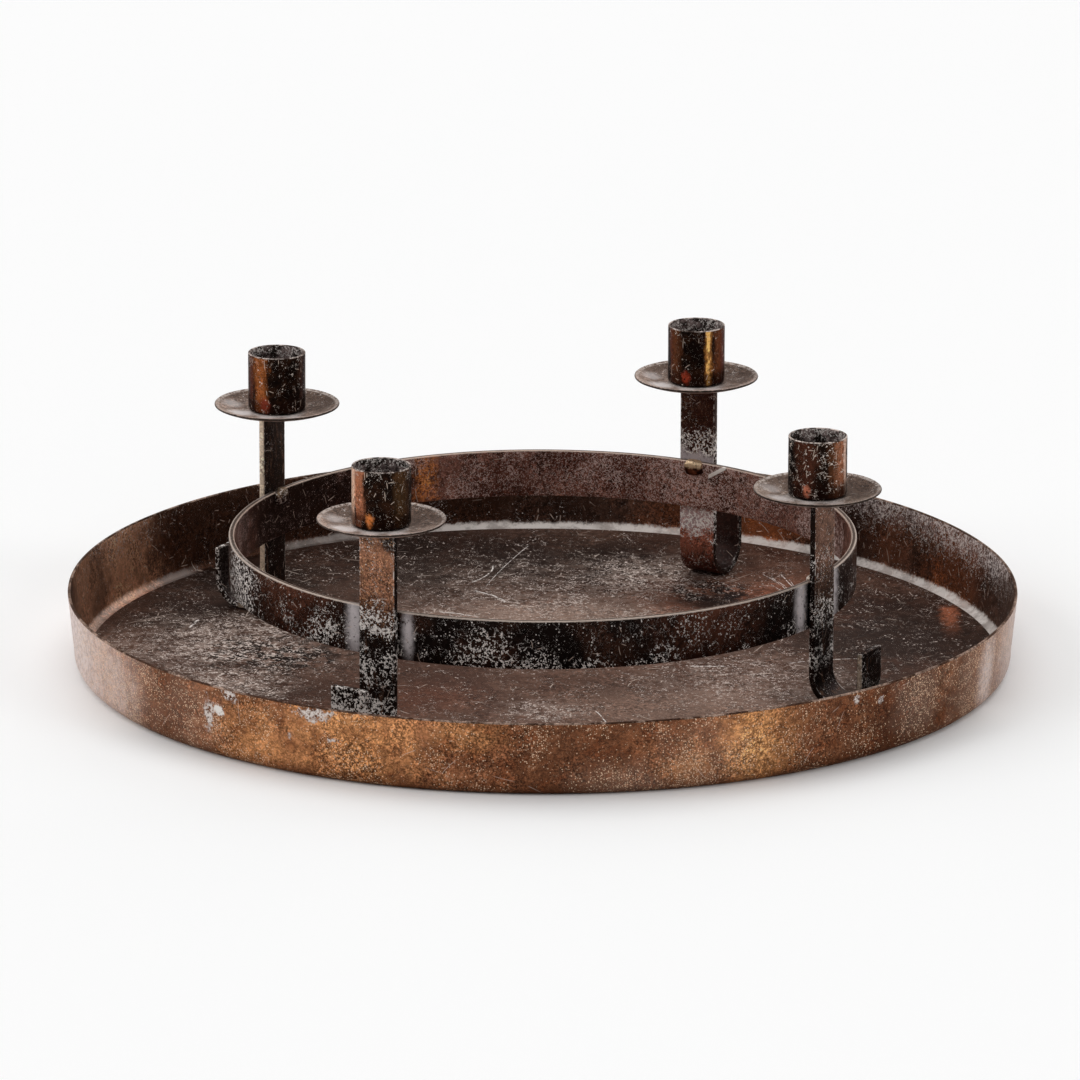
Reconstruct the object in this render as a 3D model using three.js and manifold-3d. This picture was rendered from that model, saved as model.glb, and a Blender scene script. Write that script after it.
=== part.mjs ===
// Candle wreath: a round low tray in which a loose frame stands, made of a flat-bar
// hoop and four J-shaped flat-bar arms, each with a drip plate and a candle cup.
//
// Units are millimetres and +Z is up. The origin is the middle of the tray's underside.
// Arm 1 points to -Y, arm 2 to -X, arm 3 to +X and arm 4 to +Y.

import * as THREE from 'three';
import { mergeVertices } from 'three/addons/utils/BufferGeometryUtils.js';
import Module from 'manifold-3d';

const wasm = await Module();
wasm.setup();

// Driving dimensions of the tray
const trayDiameter = 400;
const trayHeight = 31.5;
const traySheet = 1.2;
const trayFlare = 3.2;
const trayCornerRadius = 5;

// Driving dimensions of the hoop
const footToWall = 38.2;
const ringBarHeight = 20.6;
const ringBarThickness = 2.4;
const ringLowerEdge = 33.7;

// Driving dimensions of the arms
const armBarWidth = 17;
const armBarThickness = 2.5;
const armBendRadius = 10;
const armShortLegTop = 26.7;
const armShoulder = 88.9;
const tenonWidth = 6;
const tenonHeadSpread = 1.2;
const tenonHeadHeight = 0.9;

// Driving dimensions of the candle cups and drip plates
const candleDiameter = 22;
const cupBoreClearance = 0.9;
const cupWall = 0.8;
const cupHeight = 25.2;
const cupCornerRadius = 1.6;
const cupInset = 2.6;
const plateDiameter = 53.2;
const plateSheet = 1;
const plateRise = 2.9;
const plateSeatMargin = 0.8;

// Driving dimensions of the weld beads
const weldLength = 10.5;
const weldDrop = 6.6;
const weldRise = 1.2;
const weldBulge = 2.4;

// Clearances and broken edges
const looseGap = 0.3;
const slotClearance = 0.3;
const edgeBreak = 0.3;

// Steps around each round shape
const traySteps = 96;
const cupSteps = 32;
const plateSteps = 36;
const bendSteps = 12;
const cornerSteps = 4;
const weldSteps = 16;

// Sizes that follow from the driving dimensions
const trayRadius = trayDiameter / 2;
const trayBaseRadius = trayRadius - trayFlare;
const trayFloorRadius = trayBaseRadius - traySheet;
const footTop = traySheet + looseGap;
const bendOuterRadius = armBendRadius + armBarThickness;
const legSpacing = armBendRadius * 2 + armBarThickness;
const shortLegOuter = trayFloorRadius - footToWall;
const armRadius = shortLegOuter - armBarThickness / 2 - legSpacing;
const armInnerFace = armRadius - armBarThickness / 2;
const armOuterFace = armRadius + armBarThickness / 2;
const ringOuterRadius = armInnerFace - looseGap;
const ringInnerRadius = ringOuterRadius - ringBarThickness;
const ringUpperEdge = ringLowerEdge + ringBarHeight;
const plateSeat = armShoulder + plateSheet;
const cupBoreRadius = (candleDiameter + cupBoreClearance) / 2;
const cupRadius = cupBoreRadius + cupWall;
const cupFloor = plateSeat + cupWall;
const cupAxis = armRadius - cupInset;
const plateRadius = plateDiameter / 2 - edgeBreak;
const plateFlatRadius = cupRadius + plateSeatMargin;
const tenonTop = cupFloor + looseGap + tenonHeadHeight;

const copperBrown = new THREE.MeshStandardMaterial({ color: 0x8a5230, roughness: 0.45, metalness: 0.85 });
const darkIron = new THREE.MeshStandardMaterial({ color: 0x3a2a24, roughness: 0.6, metalness: 0.7 });
const copperGloss = new THREE.MeshStandardMaterial({ color: 0x7a4526, roughness: 0.3, metalness: 0.9 });
const greyBronze = new THREE.MeshStandardMaterial({ color: 0x7c7068, roughness: 0.5, metalness: 0.7 });

// A three.js geometry as a solid that can be cut and joined.
function toSolid(geometry) {
  const bare = geometry.clone();
  bare.deleteAttribute('normal');
  bare.deleteAttribute('uv');
  const merged = mergeVertices(bare);
  const vertProperties = new Float32Array(merged.attributes.position.array);
  const triVerts = new Uint32Array(merged.index.array);
  return new wasm.Manifold(new wasm.Mesh({ numProp: 3, vertProperties, triVerts }));
}

// A solid as a three.js geometry.
function toGeometry(solid) {
  const mesh = solid.getMesh();
  const geometry = new THREE.BufferGeometry();
  geometry.setAttribute('position', new THREE.BufferAttribute(mesh.vertProperties, 3));
  geometry.setIndex(new THREE.BufferAttribute(mesh.triVerts, 1));
  geometry.computeVertexNormals();
  return geometry;
}

// A profile of [radius, height] points turned around the Z axis.
function turned(points, steps) {
  const profile = points.map(([radius, height]) => new THREE.Vector2(radius, height));
  return new THREE.LatheGeometry(profile, steps).rotateX(Math.PI / 2);
}

// Points of an arc in a profile, from one angle to another in radians.
function arc(centreRadius, centreHeight, radius, from, to, steps) {
  const points = [];
  for (let i = 0; i <= steps; i += 1) {
    const angle = from + ((to - from) * i) / steps;
    points.push([centreRadius + radius * Math.cos(angle), centreHeight + radius * Math.sin(angle)]);
  }
  return points;
}

// An upright block from its lowest and highest corners.
function block(low, high) {
  const size = low.map((value, i) => high[i] - value);
  const middle = low.map((value, i) => (high[i] + value) / 2);
  return new THREE.BoxGeometry(...size).translate(...middle);
}

// The tray is one pressed sheet: a flat base, a round corner and a slightly flared wall.
function trayGeometry() {
  const lean = Math.atan2(trayFlare, trayHeight);
  const innerCorner = Math.max(trayCornerRadius - traySheet, edgeBreak);
  const cornerRadius = innerCorner + traySheet;
  const cornerCentre = trayBaseRadius - cornerRadius * (1 / Math.cos(lean) - Math.tan(lean));
  const outer = arc(cornerCentre, cornerRadius, cornerRadius, -Math.PI / 2, -lean, cornerSteps);
  const inner = arc(cornerCentre, cornerRadius, innerCorner, -lean, -Math.PI / 2, cornerSteps);
  const wallAcross = traySheet / Math.cos(lean);
  const rim = [
    [trayRadius - edgeBreak * Math.tan(lean), trayHeight - edgeBreak],
    [trayRadius - edgeBreak, trayHeight],
    [trayRadius - wallAcross + edgeBreak, trayHeight],
    [trayRadius - wallAcross - edgeBreak * Math.tan(lean), trayHeight - edgeBreak],
  ];
  return turned([[0, 0], ...outer, ...rim, ...inner, [0, traySheet]], traySteps);
}

// The hoop is a flat bar on edge, bent round, with its long edges slightly broken.
function ringGeometry() {
  const inside = ringInnerRadius;
  const outside = ringOuterRadius;
  const low = ringLowerEdge;
  const high = ringUpperEdge;
  const section = [
    [inside + edgeBreak, low],
    [outside - edgeBreak, low],
    [outside, low + edgeBreak],
    [outside, high - edgeBreak],
    [outside - edgeBreak, high],
    [inside + edgeBreak, high],
    [inside, high - edgeBreak],
    [inside, low + edgeBreak],
    [inside + edgeBreak, low],
  ];
  return turned(section, traySteps);
}

// Side view of an arm: a tall leg, a round bend on the tray's floor and a short leg outside it.
function armOutline() {
  const bendCentre = armRadius + legSpacing / 2;
  const bendHeight = footTop + bendOuterRadius;
  const outer = arc(bendCentre, bendHeight, bendOuterRadius, -Math.PI, 0, bendSteps);
  const inner = arc(bendCentre, bendHeight, armBendRadius, 0, -Math.PI, bendSteps);
  const tallLegTop = tenonTop - tenonHeadHeight;
  const points = [
    [armInnerFace, tallLegTop],
    ...outer,
    [shortLegOuter, armShortLegTop],
    [shortLegOuter - armBarThickness, armShortLegTop],
    ...inner,
    [armOuterFace, tallLegTop],
  ];
  return new THREE.Shape(points.map(([radius, height]) => new THREE.Vector2(radius, height)));
}

// An arm along +X: the bent bar, shouldered to a tenon whose end is hammered over in the cup.
function armGeometry() {
  const half = armBarWidth / 2;
  const bent = new THREE.ExtrudeGeometry(armOutline(), { depth: armBarWidth, bevelEnabled: false })
    .rotateX(Math.PI / 2)
    .translate(0, half, 0);
  const inner = armInnerFace - tenonHeadSpread;
  const outer = armOuterFace + tenonHeadSpread;
  const tenonHalf = tenonWidth / 2;
  const headHalf = tenonHalf + tenonHeadSpread;
  const leftShoulder = block([inner, -armBarWidth, armShoulder], [outer, -tenonHalf, tenonTop]);
  const rightShoulder = block([inner, tenonHalf, armShoulder], [outer, armBarWidth, tenonTop]);
  const head = block([inner, -headHalf, tenonTop - tenonHeadHeight], [outer, headHalf, tenonTop]);
  const shouldered = toSolid(bent).subtract(toSolid(leftShoulder)).subtract(toSolid(rightShoulder));
  return toGeometry(shouldered.add(toSolid(head)));
}

// The slot that lets the tenon through a plate or a cup floor, seen from the cup's own axis.
function tenonSlot(from, to) {
  const inner = cupInset - armBarThickness / 2 - slotClearance;
  const outer = cupInset + armBarThickness / 2 + slotClearance;
  const half = tenonWidth / 2 + slotClearance;
  return toSolid(block([inner, -half, from - slotClearance], [outer, half, to + slotClearance]));
}

// A drip plate around its own axis: a flat seat and a shallow dished border.
function plateGeometry() {
  const across = plateRadius - plateFlatRadius;
  const bend = (across * across + plateRise * plateRise) / (2 * plateRise);
  const sweep = Math.asin(across / bend);
  const start = -Math.PI / 2;
  const upper = arc(plateFlatRadius, plateSeat + bend, bend, start + sweep, start, cornerSteps);
  const lower = upper.map(([radius, height]) => [radius, height - plateSheet]).reverse();
  const edge = [plateRadius + edgeBreak, plateSeat + plateRise - plateSheet / 2];
  const dish = turned([[0, armShoulder], ...lower, edge, ...upper, [0, plateSeat]], plateSteps);
  return toGeometry(toSolid(dish).subtract(tenonSlot(armShoulder, plateSeat)));
}

// A candle cup around its own axis: a plain drawn tube with a floor and a small round corner.
function cupGeometry() {
  const innerCorner = Math.max(cupCornerRadius - cupWall, edgeBreak);
  const corner = innerCorner + cupWall;
  const centre = cupRadius - corner;
  const top = plateSeat + cupHeight;
  const outer = arc(centre, plateSeat + corner, corner, -Math.PI / 2, 0, cornerSteps);
  const inner = arc(centre, plateSeat + corner, innerCorner, 0, -Math.PI / 2, cornerSteps);
  const lip = [
    [cupRadius, top - edgeBreak],
    [cupRadius - edgeBreak, top],
    [cupBoreRadius, top],
  ];
  const tube = turned([[0, plateSeat], ...outer, ...lip, ...inner, [0, cupFloor]], cupSteps);
  return toGeometry(toSolid(tube).subtract(tenonSlot(plateSeat, cupFloor)));
}

// A weld bead along +X: it lies over the hoop's top edge, against the arm, and sags down
// the hoop's inner face.
function weldGeometry() {
  const height = weldDrop + weldRise;
  const middle = ringUpperEdge + weldRise - height / 2;
  const reach = weldBulge + ringBarThickness / 2;
  const blob = new THREE.SphereGeometry(1, weldSteps, weldSteps / 2)
    .scale(reach + looseGap, weldLength / 2, height / 2)
    .translate(ringInnerRadius + ringBarThickness / 2, 0, middle);
  const hoop = turned([
    [ringInnerRadius - looseGap, ringLowerEdge],
    [ringOuterRadius + looseGap * 2, ringLowerEdge],
    [ringOuterRadius + looseGap * 2, ringUpperEdge + looseGap],
    [ringInnerRadius - looseGap, ringUpperEdge + looseGap],
    [ringInnerRadius - looseGap, ringLowerEdge],
  ], traySteps);
  const arm = block([armInnerFace - looseGap, -armBarWidth, ringLowerEdge], [shortLegOuter, armBarWidth, armShoulder]);
  return toGeometry(toSolid(blob).subtract(toSolid(hoop)).subtract(toSolid(arm)));
}

function named(name, geometry, material) {
  const mesh = new THREE.Mesh(geometry, material);
  mesh.name = name;
  return mesh;
}

// One arm with what it carries, built along +X and turned to its place.
function armAssembly(number, turn) {
  const group = new THREE.Group();
  group.add(named(`arm_${number}`, armGeometry(), darkIron));
  group.add(named(`weld_bead_${number}`, weldGeometry(), darkIron));
  const holder = new THREE.Group();
  holder.position.x = cupAxis;
  holder.add(named(`drip_plate_${number}`, plateGeometry(), greyBronze));
  holder.add(named(`candle_cup_${number}`, cupGeometry(), copperGloss));
  group.add(holder);
  group.rotation.z = turn;
  return group;
}

const armTurns = [-Math.PI / 2, Math.PI, 0, Math.PI / 2];

const candleWreath = new THREE.Group();
candleWreath.name = 'candle_wreath';
candleWreath.add(named('tray', trayGeometry(), copperBrown));
candleWreath.add(named('ring', ringGeometry(), darkIron));
armTurns.forEach((turn, i) => candleWreath.add(armAssembly(i + 1, turn)));

export default candleWreath;
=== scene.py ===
"""The looks of a candle wreath in antique copper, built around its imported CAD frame.

Lengths are in metres, in the frame's own coordinates: arm 1 points to -Y, arm 2 to -X,
arm 3 to +X and arm 4 to +Y.
"""

import math
import operator
from functools import reduce

import bmesh
import bpy
from mathutils import Matrix, Vector, noise


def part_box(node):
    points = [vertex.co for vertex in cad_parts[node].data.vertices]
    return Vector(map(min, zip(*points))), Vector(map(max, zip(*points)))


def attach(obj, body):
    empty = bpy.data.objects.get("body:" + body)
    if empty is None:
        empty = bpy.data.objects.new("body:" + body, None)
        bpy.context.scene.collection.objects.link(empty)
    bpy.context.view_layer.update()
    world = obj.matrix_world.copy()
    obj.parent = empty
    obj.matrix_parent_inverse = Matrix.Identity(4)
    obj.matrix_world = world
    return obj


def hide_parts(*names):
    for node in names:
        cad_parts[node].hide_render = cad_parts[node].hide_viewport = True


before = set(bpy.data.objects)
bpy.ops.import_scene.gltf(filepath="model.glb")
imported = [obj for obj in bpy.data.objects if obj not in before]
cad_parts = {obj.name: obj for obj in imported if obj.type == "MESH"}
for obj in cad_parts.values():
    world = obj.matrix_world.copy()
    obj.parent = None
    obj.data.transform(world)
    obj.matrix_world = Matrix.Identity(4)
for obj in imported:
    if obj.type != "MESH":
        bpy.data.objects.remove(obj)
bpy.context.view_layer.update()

MM = 0.001

# Sizes of sheet, bar and small radii that the frame's boxes don't give
TRAY_SHEET = 1.2 * MM
TRAY_FLARE = 3.2 * MM
TRAY_CORNER = 5 * MM
BAR_THICKNESS = 2.5 * MM
RING_THICKNESS = 2.4 * MM
BEND_RADIUS = 10 * MM
SHORT_LEG_TOP = 26.7 * MM
TENON_WIDTH = 6 * MM
HEAD_SPREAD = 1.2 * MM
HEAD_HEIGHT = 0.9 * MM
CUP_WALL = 0.8 * MM
CUP_CORNER = 1.6 * MM
CUP_INSET = 2.6 * MM
PLATE_SHEET = 1 * MM
PLATE_RISE = 2.9 * MM
PLATE_SEAT_MARGIN = 0.8 * MM
SLOT_CLEARANCE = 0.3 * MM

# How far surfaces wander: the tray's wall and floor, the hoop's sides and top, arms, plates, cups
WALL_WAVE = 0.18 * MM
FLOOR_WAVE = 0.12 * MM
HOOP_SIDE_WAVE = 0.1 * MM
HOOP_TOP_WAVE = 0.08 * MM
ARM_WAVE = 0.06 * MM
PLATE_WAVE = 0.35 * MM
CUP_WAVE = 0.06 * MM

# Rounded long edges of the bars, and the short chamfer at a bar's ends
HOOP_ARRIS = 0.55 * MM
ARM_ARRIS = 0.45 * MM
ARM_END_CHAMFER = 0.25 * MM

# Sizes read from the frame
TRAY_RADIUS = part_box("tray")[1].x
TRAY_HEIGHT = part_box("tray")[1].z
RING_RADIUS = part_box("ring")[1].x
RING_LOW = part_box("ring")[0].z
RING_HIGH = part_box("ring")[1].z
ARM_LOW, ARM_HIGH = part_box("arm_3")
ARM_INNER = ARM_LOW.x + HEAD_SPREAD
ARM_MIDDLE = ARM_INNER + BAR_THICKNESS / 2
ARM_HALF_WIDTH = ARM_HIGH.y
CUP_LOW, CUP_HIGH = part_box("candle_cup_3")
CUP_RADIUS = CUP_HIGH.y
CUP_AXIS = ARM_MIDDLE - CUP_INSET
PLATE_LOW, PLATE_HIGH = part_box("drip_plate_3")
PLATE_RADIUS = PLATE_HIGH.y
BEAD_LOW, BEAD_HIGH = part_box("weld_bead_3")

# 1 gives a round bead, less a squarer one
BEAD_FULLNESS = 0.65

# Turn of each arm about Z, from +X
ARM_TURNS = {1: -90, 2: 180, 3: 0, 4: 90}

# Camera of the photograph, in degrees, metres and millimetres of lens and sensor
CAMERA_AZIMUTH = 30.17
CAMERA_ELEVATION = 16.66
CAMERA_PITCH = 15.978
CAMERA_SWING = 0.017
CAMERA_ROLL = 0.15
CAMERA_DISTANCE = 4.117
CAMERA_LENS = 325.3
CAMERA_SENSOR = 36

# Steps around round shapes
TRAY_STEPS = 288
RING_STEPS = 288
CUP_STEPS = 96
PLATE_STEPS = 120
ARC_STEPS = 8


def srgb(red, green, blue):
    """A linear colour from the 0 to 255 values that a screen shows."""
    def linear(value):
        value /= 255
        return value / 12.92 if value <= 0.04045 else ((value + 0.055) / 1.055) ** 2.4
    return (linear(red), linear(green), linear(blue), 1)


def arc(centre, radius, start, end, steps=ARC_STEPS):
    """Points on an arc in a profile, between two angles in degrees."""
    angles = [math.radians(start + (end - start) * i / steps) for i in range(steps + 1)]
    return [(centre[0] + radius * math.cos(a), centre[1] + radius * math.sin(a)) for a in angles]


def between(start, end, parts):
    """Points strictly between two profile points."""
    return [
        (start[0] + (end[0] - start[0]) * i / parts, start[1] + (end[1] - start[1]) * i / parts)
        for i in range(1, parts)
    ]


def finish_mesh(name, mesh_data, sharp_angle=35):
    """Turns a bmesh into an object with smooth faces and sharp edges above an angle."""
    mesh = bpy.data.meshes.new(name)
    bmesh.ops.recalc_face_normals(mesh_data, faces=mesh_data.faces)
    mesh_data.to_mesh(mesh)
    mesh_data.free()
    mesh.polygons.foreach_set("use_smooth", [True] * len(mesh.polygons))
    mesh.set_sharp_from_angle(angle=math.radians(sharp_angle))
    obj = bpy.data.objects.new(name, mesh)
    bpy.context.scene.collection.objects.link(obj)
    return obj


def skin(made, rings, slots=None):
    """Faces between neighbouring rings of points, with a material number for each stretch. A
    ring of one point closes the surface."""
    for number, (first, second) in enumerate(zip(rings, rings[1:])):
        count = max(len(first), len(second))
        for i in range(count):
            j = (i + 1) % count
            corners = (first[i % len(first)], first[j % len(first)], second[j % len(second)], second[i % len(second)])
            face = made.faces.new(dict.fromkeys(corners))
            face.material_index = slots[number] if slots else 0


def slot_point(angle):
    """Where a ray from the tenon's middle, at an angle, meets the edge of the tenon's slot."""
    half_x = BAR_THICKNESS / 2 + SLOT_CLEARANCE
    half_y = TENON_WIDTH / 2 + SLOT_CLEARANCE
    x = math.cos(angle)
    y = math.sin(angle)
    reach = min(half_x / abs(x) if abs(x) > 1e-9 else 1e9, half_y / abs(y) if abs(y) > 1e-9 else 1e9)
    return Vector((CUP_INSET + x * reach, y * reach, 0))


def turned(name, profile, steps, slots=None, closed=False, slotted=False, shape=None):
    """A profile turned around Z. slots gives a material number for each stretch of the profile,
    shape moves a finished point, and where it is slotted its two ends lie on the tenon's slot."""
    made = bmesh.new()
    rings = []
    for number, (radius, height) in enumerate(profile):
        on_slot = slotted and number in (0, len(profile) - 1)
        ring = []
        for i in range(1 if radius == 0 and not on_slot else steps):
            angle = 2 * math.pi * (i + slotted / 2) / steps
            point = Vector((radius * math.cos(angle), radius * math.sin(angle), height))
            if on_slot:
                point = slot_point(angle) + Vector((0, 0, height))
            ring.append(made.verts.new(shape(point) if shape else point))
        rings.append(ring)
    skin(made, rings + rings[:1] if closed or slotted else rings, slots)
    return finish_mesh(name, made)


def ripple(point, scale, amount, seed):
    """Smooth unevenness between -amount and amount, with bumps about 1 / scale apart."""
    return noise.noise(point * scale + Vector((seed, seed * 2, seed * 3))) * amount


# Tray

def tray_profile():
    """The tray's section from the middle of its underside, round its rim, to the middle of
    its floor, with a material number for each stretch."""
    lean = math.atan2(TRAY_FLARE, TRAY_HEIGHT)
    lean_degrees = math.degrees(lean)
    inner_radius = TRAY_CORNER - TRAY_SHEET
    base = TRAY_RADIUS - TRAY_FLARE
    centre = (base - TRAY_CORNER * (1 / math.cos(lean) - math.tan(lean)), TRAY_CORNER)
    outer = arc(centre, TRAY_CORNER, -90, -lean_degrees)
    inner = arc(centre, inner_radius, -lean_degrees, -90)
    rim_round = TRAY_SHEET / 2
    rim_centre = (TRAY_RADIUS - rim_round / math.cos(lean) - rim_round * math.tan(lean), TRAY_HEIGHT - rim_round)
    rim = arc(rim_centre, rim_round, -lean_degrees, 180 - lean_degrees, 6)
    floor_rings = 14
    underside = [(0, 0)] + between((0, 0), outer[0], 4)
    floor = between(inner[-1], (0, TRAY_SHEET), floor_rings) + [(0, TRAY_SHEET)]
    outer_wall = outer + between(outer[-1], rim[0], 6)
    inner_wall = between(rim[-1], inner[0], 6) + inner
    profile = underside + outer_wall + rim + inner_wall + floor
    slots = (
        [0] * (len(underside) + len(outer_wall))
        + [1] * (len(rim) - 1)
        + [2] * len(inner_wall)
        + [3] * len(floor)
    )
    return profile, slots


def tray_shape(point):
    """A pressed sheet's slight unevenness: the wall ripples inward, the floor stays above its sheet."""
    radius = math.hypot(point.x, point.y)
    if radius > TRAY_RADIUS - TRAY_FLARE - TRAY_CORNER and point.z > TRAY_CORNER:
        flat = Vector((point.x, point.y, 0))
        inward = (1 + ripple(flat, 22, 1, 3)) * WALL_WAVE
        point = point - flat.normalized() * inward
    elif point.z > TRAY_SHEET / 2:
        point = point + Vector((0, 0, ripple(point, 18, FLOOR_WAVE, 5)))
    return point


# Hoop

def ring_profile():
    """The hoop's flat bar on edge, with rounded long edges, as a closed section, with a
    material number for each stretch. Its flat top belongs to its outside."""
    corner = HOOP_ARRIS
    inside = RING_RADIUS - RING_THICKNESS
    low = RING_LOW
    high = RING_HIGH
    section = arc((RING_RADIUS - corner, low + corner), corner, -90, 0, 3)
    section += between((RING_RADIUS, low + corner), (RING_RADIUS, high - corner), 5)
    section += arc((RING_RADIUS - corner, high - corner), corner, 0, 90, 3)
    section += arc((inside + corner, high - corner), corner, 90, 180, 3)
    section += between((inside, high - corner), (inside, low + corner), 5)
    section += arc((inside + corner, low + corner), corner, 180, 270, 3)
    slots = [0] * (len(section) // 2) + [1] * (len(section) // 2)
    return section, slots


def ring_shape(point):
    """A hoop bent by hand: its faces and its upper edge wander a little."""
    flat = Vector((point.x, point.y, 0))
    inward = (1 + ripple(flat, 14, 1, 7)) * HOOP_SIDE_WAVE
    down = (1 + ripple(flat, 26, 1, 11)) * HOOP_TOP_WAVE if point.z > RING_HIGH - 1 * MM else 0
    return point - flat.normalized() * inward - Vector((0, 0, down))


# Arms

def rounded_section(half_thickness, half_width, corner):
    """A flat bar's section as (across, along) points, anticlockwise."""
    across = half_thickness - corner
    along = half_width - corner
    section = arc((across, along), corner, 0, 90, 3)
    section += arc((-across, along), corner, 90, 180, 3)
    section += arc((-across, -along), corner, 180, 270, 3)
    section += arc((across, -along), corner, 270, 360, 3)
    return section


def arm_stations():
    """Places along an arm, from the hammered tenon down round the bend to the short leg's end.
    Each is (radius, height, heading in degrees, half thickness, half width, corner)."""
    half = BAR_THICKNESS / 2
    wide = ARM_HALF_WIDTH
    tenon = TENON_WIDTH / 2
    head = HEAD_SPREAD
    corner = ARM_ARRIS
    top = ARM_HIGH.z
    shoulder = PLATE_LOW.z
    bend_centre = ARM_MIDDLE + BEND_RADIUS + half
    bend_height = ARM_LOW.z + BEND_RADIUS + BAR_THICKNESS
    short_leg = bend_centre + BEND_RADIUS + half
    soft = ARM_END_CHAMFER
    stations = [
        (ARM_MIDDLE, top, -90, half + head - soft, tenon + head - soft, corner),
        (ARM_MIDDLE, top - soft, -90, half + head, tenon + head, corner),
        (ARM_MIDDLE, top - HEAD_HEIGHT, -90, half + head, tenon + head, corner),
        (ARM_MIDDLE, top - HEAD_HEIGHT, -90, half, tenon, corner),
        (ARM_MIDDLE, shoulder, -90, half, tenon, corner),
        (ARM_MIDDLE, shoulder, -90, half, wide - soft, corner),
        (ARM_MIDDLE, shoulder - soft, -90, half, wide, corner),
    ]
    leg_parts = 14
    for i in range(1, leg_parts):
        height = shoulder - soft + (bend_height - shoulder + soft) * i / leg_parts
        stations.append((ARM_MIDDLE, height, -90, half, wide, corner))
    bend_parts = 28
    reach = BEND_RADIUS + half
    for i in range(bend_parts + 1):
        angle = math.pi + math.pi * i / bend_parts
        place = (bend_centre + reach * math.cos(angle), bend_height + reach * math.sin(angle))
        stations.append((*place, math.degrees(angle) + 90, half, wide, corner))
    for i in range(1, 4):
        height = bend_height + (SHORT_LEG_TOP - soft - bend_height) * i / 3
        stations.append((short_leg, height, 90, half, wide, corner))
    stations.append((short_leg, SHORT_LEG_TOP, 90, half - soft, wide - soft, corner))
    return stations


def arm_mesh(number):
    """One bent arm along +X, one closed mesh."""
    made = bmesh.new()
    rings = []
    for radius, height, heading, half, wide, corner in arm_stations():
        turn = math.radians(heading - 90)
        across = Vector((math.cos(turn), 0, math.sin(turn)))
        ring = []
        for a, b in rounded_section(half, wide, min(corner, half * 0.9)):
            point = Vector((radius, b, height)) + across * a
            sway = ripple(point, 40, ARM_WAVE, number * 5) if height < PLATE_LOW.z - 2 * MM else 0
            ring.append(made.verts.new(point + across * sway))
        rings.append(ring)
    skin(made, rings)
    made.faces.new(rings[0])
    made.faces.new(rings[-1][::-1])
    return finish_mesh(f"bent_arm_{number}", made, 40)


# Plates and cups

def plate_mesh(number):
    """A drip plate around the cup's axis: a flat seat and a shallow dished border."""
    seat = PLATE_LOW.z + PLATE_SHEET
    flat = CUP_RADIUS + PLATE_SEAT_MARGIN
    edge = PLATE_SHEET / 2
    across = PLATE_RADIUS - edge - flat
    bend = (across**2 + PLATE_RISE**2) / (2 * PLATE_RISE)
    sweep = math.degrees(math.asin(across / bend))
    upper = arc((flat, seat + bend), bend, -90 + sweep, -90, 10)
    lower = [(radius, height - PLATE_SHEET) for radius, height in reversed(upper)]
    rim = arc((upper[0][0], upper[0][1] - edge), edge, -90, 90, 6)[1:-1]
    profile = [(0, lower[0][1]), (flat / 2, lower[0][1])] + lower + rim + upper + [(flat / 2, seat), (0, seat)]

    def shape(point):
        radius = math.hypot(point.x, point.y)
        share = max(0, radius - flat) / across
        return point + Vector((0, 0, -abs(ripple(point, 30, PLATE_WAVE, number * 7)) * share))

    return turned(f"dished_plate_{number}", profile, PLATE_STEPS, slotted=True, shape=shape)


def cup_mesh(number):
    """A candle cup around its own axis: a drawn tube with a floor and a soft lip."""
    inner_corner = CUP_CORNER - CUP_WALL
    centre = (CUP_RADIUS - CUP_CORNER, CUP_LOW.z + CUP_CORNER)
    bore = CUP_RADIUS - CUP_WALL
    lip = CUP_WALL / 2
    outer = arc(centre, CUP_CORNER, -90, 0, 6)
    rim = arc((CUP_RADIUS - lip, CUP_HIGH.z - lip), lip, 0, 180, 6)
    inner = arc(centre, inner_corner, 0, -90, 6)
    floor = CUP_LOW.z + CUP_WALL
    outer_wall = between(outer[-1], rim[0], 8)
    inner_wall = between(rim[-1], inner[0], 8)
    start = [(0, CUP_LOW.z), (centre[0] * 0.6, CUP_LOW.z)]
    end = [(centre[0] * 0.6, floor), (0, floor)]
    profile = start + outer + outer_wall + rim + inner_wall + inner + end
    outside = len(start) + len(outer) + len(outer_wall)
    slots = [0] * outside + [1] * (len(rim) - 1)
    slots += [2] * (len(profile) - len(slots))

    def shape(point):
        flat = Vector((point.x, point.y, 0))
        if flat.length < bore * 0.9:
            return point
        inward = (1 + ripple(point, 60, 1, number * 9)) * CUP_WAVE
        return point - flat.normalized() * inward

    return turned(f"drawn_cup_{number}", profile, CUP_STEPS, slots, slotted=True, shape=shape)


def bead_mesh(number):
    """A lumpy weld bead over the hoop's upper edge, along +X."""
    made = bmesh.new()
    bmesh.ops.create_icosphere(made, subdivisions=4, radius=1)
    size = (BEAD_HIGH - BEAD_LOW) / 2
    middle = (BEAD_HIGH + BEAD_LOW) / 2
    for vertex in made.verts:
        lump = 0.9 + ripple(vertex.co, 1.6, 0.1, number * 13)
        full = [math.copysign(abs(value) ** BEAD_FULLNESS, value) for value in vertex.co]
        vertex.co = Vector([full[i] * size[i] * lump + middle[i] for i in range(3)])
    return finish_mesh(f"bead_{number}", made, 60)


# Finishes. Places in them are in millimetres, in the part's own coordinates.

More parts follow.
